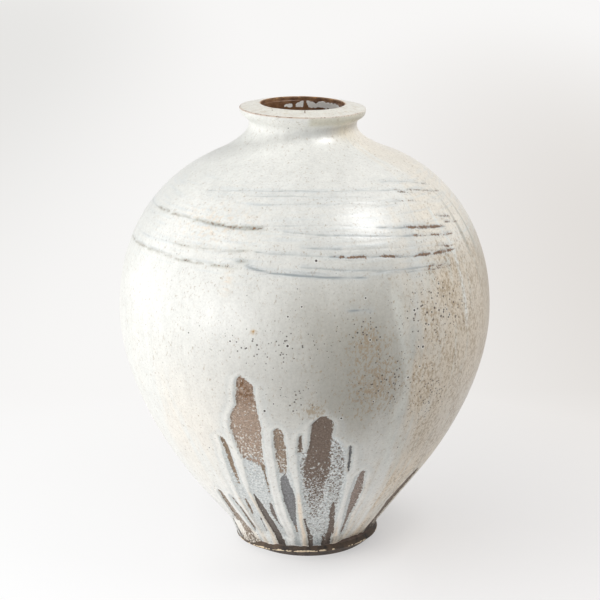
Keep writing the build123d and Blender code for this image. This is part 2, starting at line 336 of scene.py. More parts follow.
# Brush rings on the shoulder: points of turn and height, strength, and the turns between which the brush bared
# brown clay, with how much of it shows
BRUSH_RINGS = [
    ([(-100, 354), (-85, 356), (-67, 357), (-46, 357.5), (-30, 356), (-15, 357)], 0.55, (-72, -14, 0.72)),
    ([(-42, 356.6), (-28, 355.4), (-13, 356.8)], 0.8, (-38, -14, 0.85)),
    ([(-96, 320.5), (-76, 321.6), (-54, 323.2), (-39, 322.8), (-29, 322.8), (-21, 323.6)], 0.5, (-84, -22, 0.68)),
    ([(-84, 331), (-56, 334.5), (-38, 335.4), (-19, 336.6)], 0.38, (-50, -28, 0.45)),
    ([(-100, 343), (-78, 344.5), (-58, 345)], 0.28, None),
    ([(-100, 349), (-82, 350.5), (-66, 351)], 0.28, None),
    ([(-33, 334), (-23, 336.5), (-19, 338)], 0.5, (-27, -19, 0.5)),
    ([(-24, 328), (-18, 328.6)], 0.8, (-23, -19, 0.8)),
    ([(-18, 338.2), (-5, 336.3), (7, 334.7), (15, 332.7)], 0.65, None),
    ([(-9, 355.3), (5, 353), (21, 349.5), (40, 345), (55, 339.5), (62, 337.2)], 0.75, (39, 61, 0.85)),
    ([(-17, 358.6), (0, 360.7), (13, 359.3), (26, 356)], 0.55, None),
    ([(-16, 356.8), (4, 357.6)], 0.4, None),
    ([(25, 355.6), (39, 352), (54, 346.7), (60, 344.5)], 1.1, (38, 56, 1.15)),
    ([(-3, 342.8), (5, 341.4), (14, 339.8)], 0.9, None),
    ([(12, 340), (26, 339), (42, 335.4), (57, 328.2)], 0.38, (49, 57, 0.8)),
    ([(6, 335), (15, 332.9), (25, 331.4), (35, 328.8), (45, 327), (57, 324.8)], 1.05, (9.5, 20.5, 1.05)),
    ([(20, 332.2), (25, 331.4), (35, 328.8)], 0.9, (24, 32, 1)),
    ([(36, 328.6), (45, 327), (57, 324.8)], 0.9, (38, 57, 1.08)),
    ([(-20.5, 326.5), (-18.2, 324.6), (-14.5, 322.4), (-10.5, 320.8), (-1, 318.8), (12, 316.2), (21, 314.4)],
     1.25, None),
    ([(-3, 326.4), (8, 323.9), (21, 320.8), (31, 318.6), (41, 317.4), (54, 314.8)], 0.75, (40, 54, 0.8)),
    ([(21, 319.3), (34, 315.7), (46, 313), (53, 312.7)], 0.6, (39, 53, 0.6)),
    ([(44, 319.3), (48, 317.2), (53, 313.3)], 0.5, (44, 53, 0.7)),
    ([(37, 388.8), (45, 388.2), (57, 384.3), (71, 377)], 0.55, (60, 70, 0.6)),
    ([(-49, 380.5), (-28, 385), (-9, 386.5), (22, 385.4), (44, 381.3), (58, 377), (74, 369.6)], 0.58, (43, 73, 0.75)),
    ([(43, 379.8), (49, 378), (56, 375.3), (66, 366.4)], 0.55, (43, 50, 0.8)),
    ([(-28, 381), (-6, 382.8), (18, 381.1), (32, 379)], 0.48, None),
    ([(-25, 374.9), (-2, 376.9), (15, 376.3), (28, 374.3), (42, 373.2), (51, 370.7)], 0.5, (40, 51, 0.6)),
    ([(26, 373.2), (40, 371)], 0.45, None),
    ([(55.5, 355.5), (66, 351)], 0.8, (55, 66, 0.85)),
    ([(57.5, 349.3), (68, 344.5)], 0.8, (57, 68, 0.85)),
    ([(11, 288), (22, 285)], 1, None),
]

# Heights of the rings behind, where the photo doesn't show the shoulder
BACK_RINGS = (388, 383, 376, 358, 356, 350, 344, 338, 334, 329, 323, 319, 315)

# Pinholes that catch the eye: turn, height and radius; the rest are strewn
PINHOLES = [
    (3.5, 331.5, 1.3), (-5, 256, 1.3), (36.7, 245, 1.3), (35, 246, 1), (-12.3, 190, 1.2), (11.3, 182, 1.1),
    (32, 217, 1.1), (34, 281, 1.2), (19, 259, 1), (-1, 292, 0.9), (18.2, 297.5, 1), (45, 300, 1),
    (48, 269, 0.9), (47, 275, 0.9), (39, 265, 0.9), (36, 226, 0.9), (35, 139, 0.9), (21, 197, 0.9), (-5, 283, 0.9),
    (-17, 252, 0.9), (-22, 257, 0.9), (-36, 259, 0.8), (-9.4, 198, 0.8), (-36, 138, 0.8), (-15, 434, 0.7),
]

# Where small pinholes crowd: middle turn and height, spread of each, and how thickly they lie
PINHOLE_FLOCKS = [
    (43, 276, 20, 38, 1.12), (-10, 254, 21, 25, 0.98), (25, 218, 14, 44, 0.9), (43, 195, 16, 55, 0.9),
    (150, 270, 30, 40, 0.7), (-140, 215, 30, 50, 0.6), (-3, 200, 11, 26, 0.9), (18, 266, 13, 24, 0.9),
]

# Where the warm side starts, and the middle lines of the pale runs: rows of height and turn
WARM_EDGE = [
    (0, 36), (60, 39), (150, 37), (250, 33), (286, 32.6), (300, 34), (325, 39), (361, 39), (367, 41), (378, 52),
    (390, 58), (402, 55), (421, 46), (450, 34),
]
PALE_PATH = [(115, 32.5), (165, 29.6), (195, 31.8), (245, 30.4), (300, 28.6)]
SIDE_PATH = [(115, 38.5), (160, 34.2)]
WHITE_PATH = [(251, 57), (308, 56.5), (331, 57), (351, 54.5), (365, 54.7)]

# Colours of the coat: washes of the whole coat, then of the flank, the shoulder and the collar
# The lit white is painted light on the right shoulder
WHITE, LEFT_WHITE, LOW_WHITE, PAINTED_LIGHT_WHITE = "E6E6E1", "DEDFDA", "F2F1EC", "F1F0EA"
# The grey at the front and the deep grey are painted shade and dark reflection, and the grey also streaks the back as
# the glaze's own tone; the limb tan is painted shade at the right limb
GREY_SHADE_AND_STREAK, DEEP_GREY_SHADE, PALE_RUN, LIMB_SHADE_TAN = "A3A096", "8F8C83", "CED0CA", "A2967F"
BEIGE, CREAM, LOW_BEIGE, PEACH = "D2C7B6", "EAE3D6", "E6D5BC", "EEDFCB"
# The darkest clay colour is painted shade just inside the fingers' edges, and darkens the clay toward the bottom
TAUPE, UMBER, RUST, DARK_CLAY = "8C7A6C", "62544A", "6E4C2C", "4A4039"
BACK_CLAYS = (TAUPE, UMBER, "7B6A5C", "75655A")
# The edge blue and the halo blue are painted shade along and around the fingers' edges
THIN_BLUE, BEAD_WHITE, EDGE_SHADE_BLUE, HALO_SHADE_BLUE = "C2C7C6", "F0F1EE", "AEB6B8", "C6CBCB"
# The wash blue is painted shade along the brush rings
STROKE_BLUE, RING_SHADE_BLUE, RUN_WHITE, LINE_GREY = "D3D8D8", "BFC6C9", "E4E6E2", "A5A296"
FLECK_TAN, OLIVE, OCHRE = "E2CFB6", "A9A48F", "B2841F"
LIP_SHADE, NECK_BLUE, NECK_TAN, LIP_BROWN = "C6C2AF", "CDD1D0", "D3C3A2", "AE8460"
RIM_WHITE, RIM_TAN, SCORCHED = "E6E3D9", "C6B8A0", "B57F48"

# The clay's share lies this far below zero where the glaze is whole. Distances to a finger's edge start far
# outside it, in mm, and a ring's turns are counted from this many degrees before its start
GLAZED, FAR_OUTSIDE, RING_LEAD = 0.3, -30.0, 40


def coat(surface):
    """What every piece of the glaze coat has: soft washes of white, beige and cream, grey at the front as painted
    shade and dark reflection, painted light on the right shoulder, painted shade at the right limb, and nothing bare
    yet.
    """
    turn, height, skin = surface.turn, surface.height, surface.skin
    streak, fine = drift(skin, 26, 3, 5.0), drift(skin, 6, 5, 9.0)
    patch, mottle = drift(skin, 60, 4), drift(skin, 13, 6, 1.6)

    def spot(middle, wide, level, tall):
        return bell(turn - middle, wide) * bell(height - level, tall)

    warm = smooth(turn - read(WARM_EDGE, height) + 7 * streak + 5 * fine + 4 * mottle, -11, 12)
    warm *= smooth(168 - turn + 8 * streak, -8, 10)
    spread = warm * (0.9 + 0.15 * patch + 0.15 * streak)
    back = smooth(np.abs(turn), 95, 130)
    low, high = smooth(135 - height, 0, 40), smooth(height, 316, 345)
    pale = bell(turn - read(PALE_PATH, height) + 1.4 * fine, 1.7)
    pale *= smooth(height, 96, 130) * smooth(318 - height, 0, 30)
    beside = bell(turn - read(SIDE_PATH, height) + fine, 1.3)
    beside *= smooth(height, 84, 110) * smooth(180 - height, 0, 30)
    pale = np.maximum(pale, 0.8 * beside)
    tone = washed(
        np.tile(linear(WHITE), (len(turn), 1)),
        (LOW_WHITE, 0.7 * smooth(125 - height, 0, 60)),
        (LEFT_WHITE, bell(turn + 88, 42) * smooth(height, 110, 190)),
        # Grey at the front is painted shade: the dark reflection that the glossy glaze shows toward the camera
        (GREY_SHADE_AND_STREAK, spot(19, 27, 235, 106) * (0.95 + 0.2 * patch + 0.12 * streak)),
        (DEEP_GREY_SHADE, 0.3 * spot(14, 34, 218, 48)),
        (PEACH, 0.28 * spot(-46, 26, 150, 70) * np.clip(0.4 + streak + 0.5 * fine, 0, 1)),
        (BEIGE, spread * (1 - high)),
        # Whiter on the right shoulder: painted light
        (PAINTED_LIGHT_WHITE, 0.7 * spot(42, 24, 384, 20)),
        (CREAM, spread * high),
        (PALE_RUN, 0.5 * warm * (1 - high) * np.clip(2 * fine - 0.5 * streak - 0.5, 0, 1)),
        # Darker tan toward the right limb: painted shade where the jar turns away from the light
        (LIMB_SHADE_TAN, 0.75 * smooth(turn, 64, 82) * smooth(120 - turn, 0, 25) * bell(height - 285, 60)),
        (LOW_BEIGE, 0.85 * spread * low * np.clip(0.8 + fine, 0, 1)),
        (BEIGE, 0.5 * back * np.clip(0.4 + patch, 0, 1)),
        (GREY_SHADE_AND_STREAK, 0.45 * back * np.clip(streak - 0.1, 0, 1)),
        (PALE_RUN, 0.62 * pale),
    )
    iron = warm * np.clip(0.42 + 0.2 * mottle, 0, 1) * (1 - 0.7 * high) + 0.2 * back * np.clip(mottle, 0, 1)
    iron += 0.66 * spot(22, 9, 214, 36) + 0.5 * spot(18, 6, 258, 18) + 0.7 * spot(3, 4, 192, 9)
    crowd = (0.28 + 0.12 * patch) * (1 - 0.6 * smooth(height, 345, 385))
    for middle, level, wide, tall, amount in PINHOLE_FLOCKS:
        crowd = np.maximum(crowd, amount * spot(middle, wide, level, tall))
    nothing = np.zeros(len(turn))
    return {
        "tone": tone, "crowd": crowd, "iron": np.clip(iron * (1 - 0.8 * pale), 0, 1),
        "clay_tone": np.tile(linear(TAUPE), (len(turn), 1)), "clay": nothing - GLAZED,
        "film": nothing, "brush": nothing, "rust": nothing, "relief": 0.14 * drift(skin, 34, 24),
    }


def edge_distance(rows, turn, height, radius):
    """Distance in mm inside the edge of a finger with a rounded top, negative outside it."""
    heights, left, right = np.array(rows[::-1], float).T
    mm = np.radians(radius)
    near, far = np.interp(height, heights, left), np.interp(height, heights, right)
    half = (far - near) / 2 * mm
    off = (turn - (near + far) / 2 + 180) % 360 - 180
    top = heights[-1] - height
    rounded = np.sqrt(np.clip(half ** 2 - np.clip(half - top, 0, half) ** 2, 0, None))
    half = np.where(top < half, rounded, half)
    inside = half - np.abs(off) * mm
    inside = np.where(top < 0, np.minimum(inside, 0) + 1.3 * top, inside)
    return np.where(height < heights[0], np.minimum(inside, 1.3 * (height - heights[0])), inside)


def back_fingers(outline):
    """Fingers, and the thin glaze below them, for the sides that the photo doesn't show."""
    draw = random.Random(SEED)
    fingers, thin = [], []
    for middle, top, end, wide, narrow in BACK_FINGERS:
        rows = []
        for part in np.linspace(0, 1, 6):
            level = top + (end - top) * part
            around = np.interp(level, outline[:, 1], outline[:, 0])
            half = math.degrees((wide + (narrow - wide) * part) * draw.uniform(0.85, 1.1) / 2 / around)
            sway = draw.uniform(-0.5, 0.5)
            rows.append((level, middle + sway - half, middle + sway + half))
        fade = (end + (top - end) * draw.uniform(0.3, 0.6), end)
        fingers.append((rows, draw.uniform(0.8, 1.0), 0.45, fade, draw.choice(BACK_CLAYS)))
        _, left, right = rows[-1]
        low = [(end + 14, left - 1, right + 1), (end - 25, left - 2, right + 2), (14, middle - 3.5, middle + 3.5)]
        thin.append((low, draw.uniform(0.6, 1.0)))
    return fingers, thin


def flank_fields(surface):
    """Fingers, thin glaze and runs on the lower half, with painted shade along and around the fingers' edges."""
    turn, height, radius, points = surface.turn, surface.height, surface.radius, surface.points
    values = coat(surface)
    clay_tone, clay, film = (values[key] for key in ("clay_tone", "clay", "film"))
    wander = drift(points, 7, 11, 2.0) * 0.45 + drift(points, 2.6, 12, 1.5) * 0.35
    recess, hollow = np.full(len(turn), FAR_OUTSIDE), np.zeros(len(turn))
    more_fingers, more_thin = back_fingers(surface.outer)
    for rows, cover in THIN_GLAZE + more_thin:
        inside = edge_distance(rows, turn, height, radius) + wander
        film = np.maximum(film, cover * smooth(inside, -1.2, 1.8))
        recess = np.maximum(recess, inside - 0.5)
        hollow = np.maximum(hollow, 0.7 * cover * smooth(inside, -0.8, 1.8))
    for rows, solid, end, (start, stop), code in FINGERS + more_fingers:
        inside = edge_distance(rows, turn, height, radius) + wander * 0.8
        solidity = np.interp(height, (stop, start), (end, solid))
        share = (solidity + GLAZED) * np.clip(inside / 1.6 + 0.5, 0, 1) - GLAZED
        over = share > clay
        clay_tone[over] = linear(code)
        clay = np.where(over, share, clay)
        recess = np.maximum(recess, inside)
        hollow = np.maximum(hollow, 1.2 * smooth(inside, -0.8, 1.6) * min(1, solid + 0.2))
    scorched = smooth(height, 184, 206) * bell(turn + 18, 8) * (0.5 + 0.9 * drift(points, 3, 13))
    # Clay darker just inside each finger's edge, as painted shadow of the glaze's thick edge, and darker toward the
    # bottom
    edge_shade_and_low_dark = 0.4 * bell(recess - 0.8, 1.0) + 0.6 * smooth(34 - height, 0, 22)
    clay_tone = washed(clay_tone, (RUST, scorched), (DARK_CLAY, edge_shade_and_low_dark))
    peach = np.zeros(len(turn))
    for rows, strength in PEACH_EDGES:
        starts = smooth(rows[0][0] - height + 9 * wander, 0, 26)
        inside = edge_distance(rows, turn, height, radius) + wander
        peach = np.maximum(peach, strength * starts * smooth(inside, -1.2, 1.4))
    bead = bell(recess + 3.8, 2.6) * smooth(height, 12, 40)
    tone = washed(
        values["tone"],
        (THIN_BLUE, film),
        (BEAD_WHITE, 0.3 * bead * (1 - film)),
        (PEACH, peach * (1 - 0.8 * film)),
        # Bluish grey just outside the fingers' edges: painted shade of the glaze's thick edge
        (EDGE_SHADE_BLUE, 0.6 * bell(recess + 0.8, 0.9)),
        # A fainter grey ring about 9 mm outside the fingers: painted shade
        (HALO_SHADE_BLUE, 0.3 * bell(recess + 9.0, 2.6) * smooth(240 - height, 0, 30)),
    )
    runs = smooth(150 - height, 0, 60) * (1 - smooth(recess, -1, 1)) * smooth(height, 14, 30)
    relief = values["relief"] - hollow + 0.5 * bead + 0.35 * runs * drift(surface.skin, 6, 15, 14.0)
    return {**values, "tone": tone, "clay_tone": clay_tone, "clay": clay, "film": film, "relief": relief}


def back_rings():
    """Rings for the sides that the photo doesn't show, at the heights of those at the front."""
    draw = random.Random(SEED + 1)
    rings = []
    for level in BACK_RINGS:
        start = draw.uniform(98, 130)
        stop = start + draw.uniform(70, 128)
        points = [(turn, level + draw.uniform(-2.2, 2.2)) for turn in np.linspace(start, stop, 7)]
        bared = None
        if draw.random() < 0.6:
            first = draw.uniform(start, stop - 30)
            bared = (first, first + draw.uniform(14, 42), draw.uniform(0.6, 1.1))
        rings.append((points, draw.uniform(0.4, 1.1), bared))
    return rings


def shoulder_fields(surface):
    """Brush rings, with painted shade along them, and a white run on the upper half."""
    turn, height, skin = surface.turn, surface.height, surface.skin
    length = np.append(0, np.cumsum(np.hypot(*np.diff(surface.outer, axis=0).T)))
    here = np.interp(height, surface.outer[:, 1], length)
    values = coat(surface)
    brush, rust = values["brush"], values["rust"]
    ring_shade, olive = np.zeros(len(turn)), np.zeros(len(turn))
    wander, broken, strand = 0.5 * drift(skin, 34, 21, 0.2), drift(skin, 9, 22, 0.25), drift(skin, 40, 25, 0.12)
    for points, strength, bared in BRUSH_RINGS + back_rings():
        turns, levels = np.array(points, float).T
        off = (turn - turns[0] + RING_LEAD) % 360 - RING_LEAD
        laid = strength * smooth(off, 0, 2.5) * smooth(turns[-1] - turns[0] - off, 0, 3)
        level = np.interp(np.interp(off, turns - turns[0], levels), surface.outer[:, 1], length)
        away = here - level - wander
        stroke = np.clip(0.9 + 0.4 * broken, 0.3, 1.2) * bell(away, 0.65 + 0.4 * strength)
        above = 0.5 * np.clip(0.3 + strand, 0, 1) * bell(away - 2.4 - strand, 0.6)
        below = 0.4 * np.clip(0.3 - strand, 0, 1) * bell(away + 2.2 - strand, 0.6)
        brush = np.maximum(brush, laid * np.maximum(stroke, np.maximum(above, below)))
        # A wide bluish band along each ring: painted shade of a wide, shallow groove
        ring_shade = np.maximum(ring_shade, laid * np.clip(0.7 + 0.5 * strand, 0, 1) * bell(away - 0.8, 3.4))
        if bared:
            first, last, amount = bared
            start = (first - turns[0] + RING_LEAD) % 360 - RING_LEAD
            span = smooth(off, start - 2, start + 3) * smooth(start + last - first - off, -3, 3)
            wide = 0.9 + 1.4 * max(amount - 0.7, 0)
            firm = smooth(amount, 0.8, 1.1)
            worn = span * amount * np.clip(0.75 + 0.15 * firm + (0.8 - 0.15 * firm) * broken, 0, 1.15)
            # Around bared clay the groove colour spreads wider, as a soft painted shade beside the stroke
            brush = np.maximum(brush, 0.55 * worn * bell(away - 1.2, 2.4))
            # On the left a thin glaze still covers the clay and turns it olive
            if first < 0:
                olive = np.maximum(olive, worn * bell(away - 0.2, 1.8))
                worn = 0.62 * worn
            rust = np.maximum(rust, worn * bell(away - 0.4, wide))
    band = smooth(height, 306, 318) * smooth(396 - height, 0, 12)
    strokes = drift(skin, 46, 23, 0.045) * band
    run = bell(turn - read(WHITE_PATH, height), 0.8) * smooth(height, 236, 275) * smooth(368 - height, 0, 8)
    lines = smooth(turn, 62, 66) * smooth(82 - turn, 0, 5) * bell(height - 330, 34)
    lines *= smooth(drift(skin, 4, 26, 16.0), 0.3, 0.6)
    flecked = bell(turn + 34, 16) * bell(height - 356, 17) * np.clip(1.6 * drift(surface.points, 3.4, 27), 0, 1)
    flecked = np.maximum(flecked, bell(turn + 24.5, 1.6) * bell(height - 309, 11) * np.clip(0.5 + broken, 0, 1))
    ochre = bell(np.hypot(np.radians(turn + 15.1) * surface.radius, height - 267.7), 1.6)
    tone = washed(
        values["tone"], (STROKE_BLUE, 0.5 * strokes), (RING_SHADE_BLUE, 0.45 * ring_shade), (RUN_WHITE, 0.9 * run),
        (FLECK_TAN, 0.5 * flecked), (OLIVE, 0.8 * olive), (OCHRE, 1.4 * ochre), (LINE_GREY, 0.7 * lines))
    inner = smooth(height, 249, 266) * smooth(398 - height, 0, 6)
    relief = values["relief"] + inner * (-0.3 * brush + 0.07 * strokes + 0.3 * run)
    return {**values, "tone": tone, "brush": brush, "rust": rust, "relief": relief}


def collar_fields(surface):
    """Tones of the cove, neck, lip and rim, with the worn line of the lip and two short cracks in the rim."""
    turn, height, radius, points = surface.turn, surface.height, surface.radius, surface.points
    values = coat(surface)
    under_lip = smooth(height, 434, 439) * smooth(446 - height, 0, 1.5)
    under_lip *= smooth(turn, 3, 9) * smooth(150 - turn, 0, 30)
    shade = bell(height - 429, 5) * smooth(turn, -16, -4) * smooth(40 - turn, 0, 10)
    tan = bell(turn - 46, 16) * bell(height - 429, 8)
    rim = smooth(height, 445.6, 446.4)
    streaks = drift(points * (1, 1, 0), 5, 34) * rim
    back_crest = bell(radius - CREST[0] - 0.2, 0.8) * smooth(np.abs(turn), 70, 100)
    arris = bell(np.hypot(radius - LIP[0], height - LIP[1]), 0.8) * np.interp(turn, (2, 9, 60, 75), (1, 0.6, 0.5, 0))
    tone = washed(
        values["tone"], (LIP_SHADE, 0.75 * under_lip), (NECK_BLUE, 0.2 * shade), (NECK_TAN, 0.5 * tan),
        (RIM_WHITE, rim), (RIM_TAN, 0.55 * np.clip(streaks, 0, 1)), (SCORCHED, 0.8 * back_crest),
        (LIP_BROWN, 0.75 * arris))
    cracks = bell(turn - 2.5, 0.8) * smooth(radius, 42, 43) * smooth(51 - radius, 0, 2)
    slanted = bell(turn + 41 - 1.3 * (radius - 45), 1.0) * smooth(radius, 43, 45) * smooth(50 - radius, 0, 2)
    cracks = np.maximum(cracks, slanted)
    rust = np.maximum(0.8 * arris * np.clip(0.6 + 0.7 * drift(points, 6, 33), 0, 1), 0.9 * cracks)
    inner = smooth(height, 402, 408)
    relief = values["relief"] * (1 - rim) + inner * 0.1 * drift(points, 7, 32) - 0.3 * cracks
    return {**values, "tone": tone, "iron": 0.8 * values["iron"], "rust": rust, "relief": relief}


def node(tree, kind, inputs=(), output=0, **settings):
    """Add a shader node, set it up, link or set its inputs, in order or by name or number, and return an output."""
    made = tree.nodes.new("ShaderNode" + kind)
    for key, value in settings.items():
        setattr(made, key, value)
    for key, value in inputs.items() if isinstance(inputs, dict) else enumerate(inputs):
        if isinstance(value, bpy.types.NodeSocket):
            tree.links.new(value, made.inputs[key])
        else:
            made.inputs[key].default_value = value
    return made.outputs[output] if made.outputs else None


# What a Mix node needs to mix colours, and how strongly fired ceramic bends light
RGBA = {"output": 2, "data_type": "RGBA"}
CERAMIC_IOR = 1.5


def new_material(name):
    """A material with nothing in it yet, and node() for its tree."""
    material = bpy.data.materials.new(name)
    material.use_nodes = True
    material.node_tree.nodes.clear()
    return material, functools.partial(node, material.node_tree)


def per_metre(millimetres):
    """Texture scale for features of this size."""
    return 1000 / millimetres


OUTSIDE = np.concatenate([along(curve, 3) for curve in (FLANK, SHOULDER, COVE, FLARE)])


def on_jar(turn, height):
    """The place on the glaze at a turn and a height, in metres."""
    radius = np.interp(height, OUTSIDE[:, 1], OUTSIDE[:, 0])
    return hand_made(placed(radius, turn, height)[None])[0] * MM


# Colours that the glaze's texture adds
SPECK_GREY, SPECK_WHITE, IRON_WASH, IRON_DOT = "A8AEAF", "EAECEA", "97805F", "7A6350"
# The pale pit rim colour is a painted highlight on the lit edge of each pinhole
GROOVE_BLUE, BURNT_DARK, BURNT_PALE, PIT_RIM_HIGHLIGHT, PIT_DARK = "858D91", "4A3626", "8C6848", "F2F2EE", "3A302A"


def run_glaze(name):
    """White stoneware glaze, poured and run, fired satin: a soft sheen, pinholes, iron coming through where it is
    thin, brush rings, and bare clay with flecks of glaze in the fingers."""
    material, add = new_material(name)
    place = add("TexCoord", output="Object")
    fall, streaks, strokes = (
        add("Mapping", {"Vector": place, "Scale": scale}) for scale in ((1, 1, 0.65), (1, 1, 0.1), (0.06, 0.06, 1)))
    painted = {key: add("Attribute", output="Color" if "tone" in key else "Fac", attribute_name=key)
               for key in ("tone", "clay_tone", "clay", "film", "iron", "brush", "rust", "crowd")}

    # Noise: its stretch, size in mm, detail and roughness, the part of it that is used and the range it is spread
    # over. It makes clouds, run streaks and a fine crawl in the white, and flecks, specks and grit of 1 to 2 mm
    grain = {}
    for key, vector, size, detail, rough, low, high, least, most in (
            ("flecks", fall, 2.1, 4, 0.75, 0.33, 0.67, -0.45, 0.45),
            ("cloud", place, 14, 4, 0.6, 0.3, 0.7, 0.96, 1.035),
            ("run", streaks, 7, 3, 0.55, 0.35, 0.65, 0.97, 1.025),
            ("crawl", place, 2.2, 2, 0.6, 0.3, 0.7, 0.93, 1.05),
            ("specks", place, 1.9, 3, 0.7, 0.4, 0.6, 0, 1),
            ("ragged", strokes, 1.6, 3, 0.5, 0.35, 0.65, 0.55, 1.15),
            ("grit", place, 1.5, 3, 0.7, 0.3, 0.7, 0.5, 1.5)):
        texture = add("TexNoise", {"Vector": vector, "Scale": per_metre(size), "Detail": detail, "Roughness": rough})
        grain[key] = add("MapRange", (texture, low, high, least, most))

    # Dots, wider where the painted value is higher: spacing in mm, how much wider, the soft edge and the strength
    dots = {}
    for key, vector, spacing, wider, low, high, most in (
            ("iron", fall, 4.5, 0.2, -0.02, 0.06, 0.7), ("crowd", place, 4.2, 0.275, 0, 0.06, 0.84)):
        away = add("TexVoronoi", {"Vector": vector, "Scale": per_metre(spacing)}, output="Distance")
        away = add("Math", (away, -1), operation="MULTIPLY")
        away = add("Math", (painted[key], wider, away), operation="MULTIPLY_ADD")
        dots[key] = add("MapRange", (away, low, high, 0, most))

    # Flecks decide where clay shows, from single specks to solid bare clay
    bare = add("Math", (painted["clay"], grain["flecks"]), operation="ADD")
    bare = add("MapRange", (bare, 0.44, 0.56), interpolation_type="SMOOTHSTEP")

    shade = add("Math", (grain["cloud"], grain["run"]), operation="MULTIPLY")
    shade = add("Math", (shade, grain["crawl"]), operation="MULTIPLY")
    colour = add("VectorMath", {0: painted["tone"], "Scale": shade}, operation="SCALE")

    # Thin glaze breaks into grey-blue and white specks
    salt = add("Mix", {0: grain["specks"], 6: linear(SPECK_GREY), 7: linear(SPECK_WHITE)}, **RGBA)
    cover = add("Math", (painted["film"], 0.8), operation="MULTIPLY")

    # Iron: soft speckles under 3 mm and small brown dots where the coat is thin
    mottle = add("TexNoise", {"Vector": fall, "Scale": per_metre(2.8), "Detail": 4, "Roughness": 0.75})
    mottle = add("Math", (painted["iron"], 0.24, mottle), operation="MULTIPLY_ADD")
    mottle = add("MapRange", (mottle, 0.585, 0.7, 0, 0.64))

    # Brush rings: thin bluish glaze in the grooves and painted shade beside bared strokes, brown where the brush bared
    # the clay
    groove = add("Math", (painted["brush"], grain["ragged"]), operation="MULTIPLY")
    groove = add("MapRange", (groove, 0.12, 1, 0, 0.78))
    worn = add("Math", (grain["flecks"], 1.2, painted["rust"]), operation="MULTIPLY_ADD")
    worn = add("MapRange", (worn, 0.4, 0.66, 0, 0.9))
    burnt = add("Mix", {0: grain["specks"], 6: linear(BURNT_DARK), 7: linear(BURNT_PALE)}, **RGBA)

    # Pinholes, black inside: large ones in their own places with a pale rim, a painted highlight on the crater's lit
    # edge, small ones that crowd where the painted value is high, and a few everywhere
    reach = 100.0
    for turn, level, radius in PINHOLES:
        far = add("VectorMath", (place, on_jar(turn, level)), output="Value", operation="DISTANCE")
        far = add("Math", (far, per_metre(radius)), operation="MULTIPLY")
        reach = add("Math", (reach, far), operation="MINIMUM")
    rim_highlights = add("MapRange", (reach, 1.1, 1.9, 0.5, 0))
    pits = add("MapRange", (reach, 0.7, 1.1, 1, 0))
    lone = add("TexVoronoi", {"Vector": place, "Scale": per_metre(10)}, output="Distance")
    depth = add("MapRange", (painted["crowd"], 0.12, 0.3, 0.2, 0.7))
    lone = add("MapRange", (lone, 0.035, 0.075, depth, 0))
    for more in (dots["crowd"], lone):
        pits = add("Math", (pits, more), operation="MAXIMUM")

    # Bare clay, scraped and gritty
    brown = add("VectorMath", {0: painted["clay_tone"], "Scale": grain["grit"]}, operation="SCALE")

    # Everything laid over the white, in this order
    for share, above in (
            (cover, salt), (mottle, linear(IRON_WASH)), (dots["iron"], linear(IRON_DOT)),
            (groove, linear(GROOVE_BLUE)), (worn, burnt), (rim_highlights, linear(PIT_RIM_HIGHLIGHT)), (pits, linear(PIT_DARK)),
            (bare, brown)):
        colour = add("Mix", {0: share, 6: colour, 7: above}, **RGBA)
    gloss = add("MapRange", {0: bare, 3: 0.31, 4: 0.72})
    height = add("Math", (grain["crawl"], 1.5), operation="MULTIPLY")
    for layer, rise in ((bare, -0.5), (pits, -0.8)):
        height = add("Math", (layer, rise, height), operation="MULTIPLY_ADD")
    bump = add("Bump", {"Height": height, "Strength": 0.5, "Distance": 0.6 * MM})
    shader = add("BsdfPrincipled", {"Base Color": colour, "Roughness": gloss, "IOR": CERAMIC_IOR, "Normal": bump})
    add("OutputMaterial", {"Surface": shader})
    return material


def fired_clay(name, dark, pale, over=None, rough=(0.6, 0.85)):
    """Iron-bearing stoneware, turned and fired bare: matte, gritty, with darker iron blooms. Where the attribute
    "over" is painted, the colour that lies over it shows in flecks."""
    material, add = new_material(name)
    place = add("TexCoord", output="Object")
    bloom, grit = (
        add("TexNoise", {"Vector": place, "Scale": per_metre(size), "Detail": detail, "Roughness": roughness})
        for size, detail, roughness in ((9, 5, 0.65), (1.4, 3, 0.7)))
    bloom = add("MapRange", (bloom, 0.35, 0.65))
    colour = add("Mix", {0: bloom, 6: linear(dark), 7: linear(pale)}, **RGBA)
    if over:
        share = add("Attribute", output="Fac", attribute_name="over")
        share = add("Math", (share, grit), operation="MULTIPLY")
        share = add("MapRange", (share, 0.3, 0.45))
        colour = add("Mix", {0: share, 6: colour, 7: linear(over)}, **RGBA)
    bump = add("Bump", {"Height": grit, "Strength": 0.5, "Distance": 0.5 * MM})
    sheen = add("MapRange", {0: grit, 3: rough[0], 4: rough[1]})
    shader = add("BsdfPrincipled", {"Base Color": colour, "Roughness": sheen, "IOR": CERAMIC_IOR, "Normal": bump})
    add("OutputMaterial", {"Surface": shader})
    return material


GLAZE = run_glaze("white_stoneware_glaze")
FOOT_CLAY = fired_clay("charcoal_foot_clay", "2C2725", "604F40", "F0DCBC")
BODY_CLAY = fired_clay("iron_stoneware", "4E4038", "75645A")
MOUTH_CLAY = fired_clay("brown_mouth_clay", "5F3C26", "9C7450", "D8A468")
LUTING_CLAY = fired_clay("luting_slip", "4C4038", "6A5B50")
SLIP_CLAY = fired_clay("brushed_white_slip", "C4C0B8", "DAD7D0")
LINER_GLAZE = fired_clay("liner_glaze", "5C3C24", "8A6444", "FAF7F1", (0.3, 0.45))

